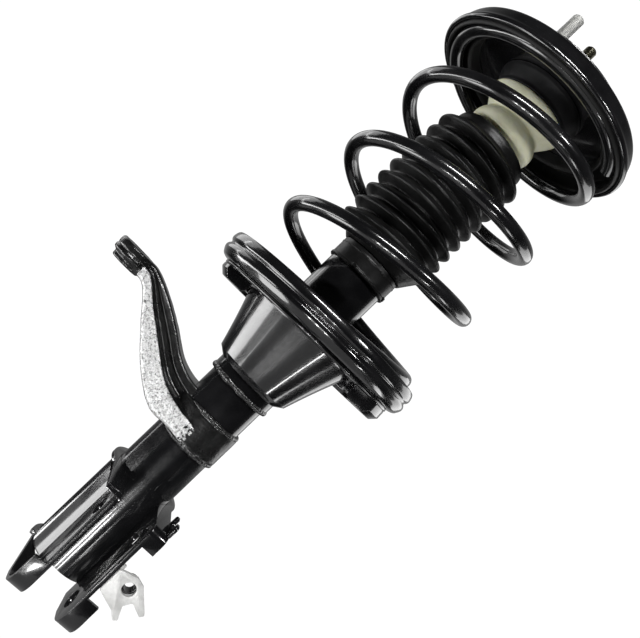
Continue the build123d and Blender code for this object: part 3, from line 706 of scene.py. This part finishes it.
def steering_arm():
    """Forging fused from its arm, boss and collar, then blasted, bored and reamed."""
    end_low = arm_boss_top - arm_end_height
    stations = [  # reach from the axis, foot, crest of the facet, top, depth
        (0, arm_low, arm_low + 14, arm_high + 4, 57.2),
        (8, arm_low, arm_low + 15, arm_high + 6, 57.4),
        (tube_radius - 6, arm_low, arm_low + 16, arm_high + 8, 54),
        (34, arm_low - 1.6, arm_low + 18, arm_high + 9.5, 42),
        (48, arm_low + 3, arm_low + 23, arm_high + 14.5, 31),
        (69, arm_low + 17.5, arm_low + 37, arm_high + 28, 25),
        (90, arm_low + 37.5, arm_low + 51.5, arm_high + 39.5, 21),
        (arm_reach - 21, end_low + 0.5, end_low + 10, arm_boss_top - 0.5, 20),
        (arm_reach - 6, end_low + 0.5, end_low + 10, arm_boss_top - 0.5, 20),
    ]
    stop, count = stations[-1][0], 68
    rings = []
    for i in range(count + 1):
        reach = stop * i / count
        rings.append(arm_ring(reach, *between(stations, reach)))
    arm = mesh_piece("steering_arm_forging", *skin(rings))
    boss_radius, collar = arm_boss_radius - 0.3, tube_radius + 2.8
    boss = rod_tool("boss", -arm_reach, [
        (end_low, 12.4), (end_low + 1.0, 13.2), (end_low + 4.6, 13.2),
        (end_low + 5.4, boss_radius - 1.2), (end_low + 6.6, boss_radius), (end_low + 9.2, boss_radius),
        (end_low + 9.8, boss_radius - 0.9), (end_low + 10.8, boss_radius - 0.9),
        (end_low + 11.4, boss_radius), (arm_boss_top - 1.3, boss_radius),
        (arm_boss_top - 0.1, boss_radius - 1.2),
    ])
    ring = rod_tool("collar", 0, [
        (arm_low, collar - 0.8), (arm_low + 0.8, collar), (arm_high - 0.8, collar), (arm_high, collar - 0.8),
    ])
    boolean(arm, boss, "UNION")
    boolean(arm, ring, "UNION")
    fuse = arm.modifiers.new("fuse", "REMESH")
    fuse.mode, fuse.voxel_size, fuse.use_smooth_shade = "VOXEL", 0.75 * MM, True
    relax = arm.modifiers.new("relax", "SMOOTH")
    relax.factor, relax.iterations = 0.5, 4
    bpy.context.view_layer.update()
    apply_modifiers(arm)
    blast = [v.normal.copy() for v in arm.data.vertices]
    for vertex, normal in zip(arm.data.vertices, blast):
        point = vertex.co / MM
        dent = noise.fractal(point * 0.9, 1.0, 2.0, 3) * 0.07 + noise.noise(point * 0.16) * 0.12
        vertex.co += normal * dent * MM
    bore = rod_tool("tube_bore", 0, [(arm_low - 20, tube_radius), (arm_high + 40, tube_radius)])
    boolean(arm, bore, "DIFFERENCE")
    taper = rod_tool("taper", -arm_reach, [(end_low - 2, 7.0), (arm_boss_top + 2, 5.9)])
    boolean(arm, taper, "DIFFERENCE")
    arm.data.shade_smooth()
    arm.data.set_sharp_from_angle(angle=math.radians(50))
    arm.data.materials.clear()
    arm.data.materials.append(finish_of["forged_arm"])
    arm.data.materials.append(finish_of["arm_facet_painted_reflection"])
    # Front faces below the facet's crest take the pale material, a painted reflection on the black forging.
    for face in arm.data.polygons:
        point = face.center / MM
        reach = -point.x
        ragged_start = 3.0 + 9.0 * noise.fractal(point * 0.35, 1.0, 2.0, 3)
        if reach < ragged_start or reach > arm_reach - 14:
            continue
        _, crest, _, depth = between(stations, reach)
        on_front = face.normal.y < -0.55 and point.y < -depth * 0.40
        if on_front and point.z < crest + 0.2:
            face.material_index = 1
    put_on(arm, STRUT, "forged_arm", "steering_arm")


# ---------------------------------------------------------------- weld beads
def weld_bead(name, z, size, first, last, upwards):
    """An uneven, rippled bead round the tube between two directions, in degrees."""
    sides, ripples = 12, 52
    whole = abs(last - first) >= 359
    steps = max(8, round(abs(last - first) * 1.4))
    way = 1 if upwards else -1
    centre_r, centre_z = tube_radius + size * 0.22, z + way * size * 0.22
    rings = []
    for i in range(steps + 1):
        share = i / steps
        angle = math.radians(first + (last - first) * share)
        ends = 1.0 if whole else min(1.0, 0.35 + 7 * min(share, 1 - share))
        run = share * abs(last - first) / 360
        wander = noise.noise(Vector((math.cos(angle) * 4, math.sin(angle) * 4, z)))
        swell = 1 + 0.05 * math.sin(2 * math.pi * (run * ripples + wander)) + 0.30 * wander
        half = size * 0.74 * swell * ends
        ring = []
        for k in range(sides):
            a = 2 * math.pi * k / sides
            r, h = centre_r + half * math.cos(a), centre_z + half * math.sin(a)
            ring.append(Vector((r * math.cos(angle), r * math.sin(angle), h)))
        rings.append(ring)
    if whole:
        rings.pop()
    return mesh_piece(name, *skin(rings, around=whole), sharp=60)


def weld_beads():
    """The beads at the arm's collar and at the cone's foot, as one piece."""
    beads = [
        weld_bead("bead_cone", cone_foot, 3.4, 0, 360, False),
        weld_bead("bead_collar_top", arm_high, 2.8, -128, 128, True),
        weld_bead("bead_collar_foot", arm_low, 2.8, -132, 132, False),
    ]
    put_on(join("weld_bead_runs", beads), STRUT, "weld_black", "weld_beads")


# ---------------------------------------------------------------- threads
def threaded(name, x, y, low, high, socket=None):
    """A threaded bar standing at (x, y), its end chamfered, with a hexagon socket if asked."""
    major, pitch = thread_radius, thread_pitch
    sides, per_pitch, depth, chamfer = 36, 8, pitch * 0.54, 1.4
    count = max(4, round((high - low) / pitch * per_pitch))
    rings = []
    for i in range(count + 1):
        z = low + (high - low) * i / count
        ring = []
        for k in range(sides):
            a = 2 * math.pi * k / sides
            wave = abs(((z / pitch - k / sides) % 1.0) * 2 - 1)
            cut = depth * min(1.0, max(0.0, wave * 1.25 - 0.12))
            runout = min(1.0, (z - low) / pitch)
            end = max(0.0, chamfer - (high - z))
            radius = min(major - cut * runout, major - end)
            ring.append(Vector((x + radius * math.cos(a), y + radius * math.sin(a), z)))
        rings.append(ring)
    if socket:
        half, deep = socket  # half the width across flats, and the depth
        for z, grow in ((high, 1.12), (high - 0.4, 1.0), (high - deep, 1.0)):
            ring = []
            for k in range(sides):
                a = 2 * math.pi * k / sides
                side = (a + math.pi / 6) % (math.pi / 3) - math.pi / 6
                radius = half * grow / math.cos(side)
                ring.append(Vector((x + radius * math.cos(a), y + radius * math.sin(a), z)))
            rings.append(ring)
    return mesh_piece(name, *skin(rings), sharp=40)


def mount_studs():
    """Pressed-in studs: head under the plate, splined shank, rolled thread."""
    t, splines = plate_sheet, 24
    parts = []
    for i in range(stud_count):
        turn = math.radians(stud_phase + 360.0 / stud_count * i)
        x, y = stud_circle * math.cos(turn), stud_circle * math.sin(turn)
        parts.append(threaded(f"stud_{i}", x, y, 0.0, stud_height))
        rings = []
        for z, radius, spline in (
            (-2 * t - 2.5, 6.9, 0), (-2 * t - 2.1, 7.5, 0), (-2 * t - 0.4, 7.5, 0), (-2 * t, 7.1, 0),
            (-2 * t, 5.3, 0.2), (-0.3, 5.3, 0.2), (0.0, 5.0, 0),
        ):
            ring = []
            for k in range(2 * splines):
                a = math.pi * k / splines
                r = radius + spline * (k % 2)
                ring.append(Vector((x + r * math.cos(a), y + r * math.sin(a), z)))
            rings.append(ring)
        parts.append(mesh_piece(f"shank_{i}", *skin(rings)))
    studs = join("mount_stud_set", parts)
    studs.data.materials.clear()
    studs.data.materials.append(finish_of["stud_zinc"])
    put_on(studs, MOUNT, "zinc", "mount_studs")


def piston_rod():
    """Ground rod with a threaded tip, plated above the shoulder, and a hexagon socket."""
    end, seat = span("piston_nut")[0].z - 2, span("piston")[1].z
    thread_start = 8.0
    body = rod_tool("piston_rod_bar", 0, [
        (end, 4.2), (end + 0.8, thread_radius), (seat, thread_radius), (seat, rod_radius - 0.8),
        (seat + 0.8, rod_radius), (shoulder - 0.6, rod_radius), (shoulder, rod_radius - 0.6),
    ])
    body.data.materials.append(finish_of["ground_chrome"])
    neck = rod_tool("neck", 0, [(shoulder, thread_radius), (thread_start, thread_radius)], 36)
    neck.data.materials.append(finish_of["olive_zinc"])
    tip = threaded("tip", 0, 0, thread_start, rod_tip, socket=(2.6, 7.0))
    tip.data.materials.append(finish_of["olive_zinc"])
    put_on(join("piston_rod_bar", [body, neck, tip]), ROD, "ground_chrome", "piston_rod")


# ---------------------------------------------------------------- pressings with soft edges
def pressed(node, name, slot, body, width):
    """A copy of a sheet-metal node with its flat faces merged and its edges rounded."""
    piece = bpy.data.objects.new(name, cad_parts[node].data.copy())
    bpy.context.scene.collection.objects.link(piece)
    shape = bmesh.new()
    shape.from_mesh(piece.data)
    bmesh.ops.remove_doubles(shape, verts=shape.verts, dist=0.002 * MM)
    bmesh.ops.dissolve_limit(shape, angle_limit=math.radians(0.6), verts=shape.verts, edges=shape.edges)
    shape.to_mesh(piece.data)
    shape.free()
    round_off = piece.modifiers.new("round", "BEVEL")
    round_off.width, round_off.segments, round_off.limit_method = width * MM, 3, "ANGLE"
    round_off.angle_limit, round_off.use_clamp_overlap = math.radians(28), True
    round_off.harden_normals = False
    bpy.context.view_layer.update()
    apply_modifiers(piece)
    piece.data.materials.clear()
    piece.data.shade_smooth()
    piece.data.set_sharp_from_angle(angle=math.radians(30))
    return put_on(piece, body, slot, node)


# ---------------------------------------------------------------- stage
look_height = -0.302         # height that the camera is level with
camera_distance = 0.58171


def add_camera():
    """The photographed view: close, almost level, rolled so that the strut lies across the frame."""
    pitch, yaw, lean, image_turn = -3.493, -1.084, 2.787, 43.5
    turn = (
        Matrix.Rotation(math.radians(lean), 3, "Y")
        @ Matrix.Rotation(math.radians(pitch), 3, "X")
        @ Matrix.Rotation(math.radians(yaw), 3, "Z")
    )
    across, ahead, up = turn[0], turn[1], turn[2]
    c, s = math.cos(math.radians(image_turn)), math.sin(math.radians(image_turn))
    right, top = across * c + up * s, up * c - across * s
    data = bpy.data.cameras.new("camera")
    data.sensor_width, data.lens = 36.0, 41.49
    data.shift_x, data.shift_y = 0.0205, -0.0227
    data.clip_start, data.clip_end = 0.01, 50.0
    camera = bpy.data.objects.new("camera", data)
    placed = Matrix((right, top, -ahead)).transposed().to_4x4()
    placed.translation = Vector((0, -camera_distance, look_height))
    camera.matrix_world = placed
    bpy.context.scene.collection.objects.link(camera)
    bpy.context.scene.camera = camera


def softbox(name, azimuth, elevation, distance, width, height, watts, aim=look_height):
    """A rectangular light. Azimuth 0 is the camera's side, positive towards +X."""
    a, e = math.radians(azimuth), math.radians(elevation)
    target = Vector((0, 0, aim))
    out = Vector((math.sin(a) * math.cos(e), -math.cos(a) * math.cos(e), math.sin(e)))
    data = bpy.data.lights.new(name, "AREA")
    data.shape, data.size, data.size_y, data.energy = "RECTANGLE", width, height, watts
    lamp = bpy.data.objects.new(name, data)
    lamp.location = target + out * distance
    lamp.rotation_mode = "QUATERNION"
    lamp.rotation_quaternion = out.to_track_quat("Z", "Y")
    lamp.visible_camera = False
    bpy.context.scene.collection.objects.link(lamp)


def add_lights():
    softbox("key_front", -6, 42, 1.7, 0.88, 0.07, 22)
    softbox("key_right", 45, 33, 1.7, 0.25, 0.08, 7)
    softbox("low_front_left", -7, -20, 0.97, 0.05, 0.13, 1.1, aim=-0.5)
    softbox("low_front", 3, -20, 0.97, 0.05, 0.13, 1.3, aim=-0.5)
    softbox("low_front_right", 14, -20, 0.97, 0.05, 0.13, 1.1, aim=-0.5)
    softbox("cone_card", -62, -43, 0.62, 0.36, 0.20, 1.5, aim=-0.33)
    softbox("wrap_card", -86, -19, 1.0, 1.30, 0.15, 5.0, aim=-0.5)
    softbox("left_strip", -115, -2, 1.2, 0.07, 0.9, 0.6)
    softbox("left_back", -122, 14, 1.4, 1.1, 0.9, 3.6)
    softbox("right_back", 132, 5, 1.4, 0.8, 1.0, 3.6)
    softbox("right_low", 105, -20, 1.1, 0.4, 0.14, 0.9, aim=-0.5)
    softbox("right_thread", 63, -20, 1.1, 0.04, 0.2, 1.0, aim=-0.5)


def add_world():
    """Pale backdrop behind the object, dark studio on the camera's side, white to the camera."""
    world = bpy.data.worlds.new("studio")
    bpy.context.scene.world = world
    world.use_nodes = True
    tree = world.node_tree
    tree.nodes.clear()
    link = tree.links.new
    place = tree.nodes.new("ShaderNodeTexCoord").outputs["Generated"]
    split = tree.nodes.new("ShaderNodeSeparateXYZ")
    link(place, split.inputs[0])
    band = tree.nodes.new("ShaderNodeValToRGB")
    shift = tree.nodes.new("ShaderNodeMapRange")
    shift.inputs["From Min"].default_value = -1.0
    link(split.outputs["Y"], shift.inputs["Value"])
    link(shift.outputs["Result"], band.inputs["Fac"])
    above = tree.nodes.new("ShaderNodeMapRange")
    above.inputs["From Min"].default_value, above.inputs["From Max"].default_value = -0.36, -0.12
    link(split.outputs["Z"], above.inputs["Value"])
    stops = ((0.0, 0.0), (0.58, 0.01), (0.80, 0.10), (1.0, 0.30))
    while len(band.color_ramp.elements) < len(stops):
        band.color_ramp.elements.new(0.5)
    for element, (position, value) in zip(band.color_ramp.elements, stops):
        element.position, element.color = position, (value, value, value, 1.0)
    studio = tree.nodes.new("ShaderNodeBackground")
    link(band.outputs["Color"], studio.inputs["Color"])
    link(above.outputs["Result"], studio.inputs["Strength"])
    white = tree.nodes.new("ShaderNodeBackground")
    white.inputs["Strength"].default_value = 1.05
    mix = tree.nodes.new("ShaderNodeMixShader")
    link(tree.nodes.new("ShaderNodeLightPath").outputs["Is Camera Ray"], mix.inputs["Fac"])
    link(studio.outputs[0], mix.inputs[1])
    link(white.outputs[0], mix.inputs[2])
    white.inputs["Color"].default_value = (1, 1, 1, 1)
    link(mix.outputs[0], tree.nodes.new("ShaderNodeOutputWorld").inputs["Surface"])


def add_floor():
    """Plain pale floor well below the object, burnt out to white as the backdrop is."""
    half, level = 0.7, -0.85
    mesh = bpy.data.meshes.new("floor")
    corners = [(-half, -half, level), (half, -half, level), (half, half, level), (-half, half, level)]
    mesh.from_pydata(corners, [], [(0, 1, 2, 3)])
    floor = bpy.data.objects.new("floor", mesh)
    bpy.context.scene.collection.objects.link(floor)
    look = Look("floor_paper", Roughness=0.9)
    look.set("Base Color", look.ramp(look.noise(3.0), (0.4, 0.44), (0.6, 0.47)))
    tree = look.tree
    bright = tree.nodes.new("ShaderNodeEmission")
    bright.inputs["Strength"].default_value = 1.05
    mix = tree.nodes.new("ShaderNodeMixShader")
    tree.links.new(tree.nodes.new("ShaderNodeLightPath").outputs["Is Camera Ray"], mix.inputs["Fac"])
    tree.links.new(look.shader.outputs[0], mix.inputs[1])
    tree.links.new(bright.outputs[0], mix.inputs[2])
    tree.links.new(mix.outputs[0], tree.nodes["Material Output"].inputs["Surface"])
    mesh.materials.append(look.material)


# ---------------------------------------------------------------- make everything
add_camera()
paint_nodes()
coil_spring()
bellows()
cuff()
bump_stop()
stop_cup()
upper_isolator()
mount_rubber()
upper_spring_seat()
lower_spring_seat()
steering_arm()
weld_beads()
mount_studs()
piston_rod()
pressed("knuckle_bracket", "knuckle_bracket_pressing", "black_gloss", STRUT, 0.6)
pressed("seat_stiffener", "seat_stiffener_channel", "black_gloss", STRUT, 1.6)
pressed("seat_base_plate", "seat_base_pressing", "black_gloss", STRUT, 1.4)
pressed("sensor_clip", "sensor_clip_tab", "black_gloss", STRUT, 0.5)
pressed("hose_bracket", "hose_bracket_plate", "zinc", STRUT, 0.5)
add_lights()
add_world()
add_floor()
bpy.context.scene.view_settings.view_transform = "Standard"
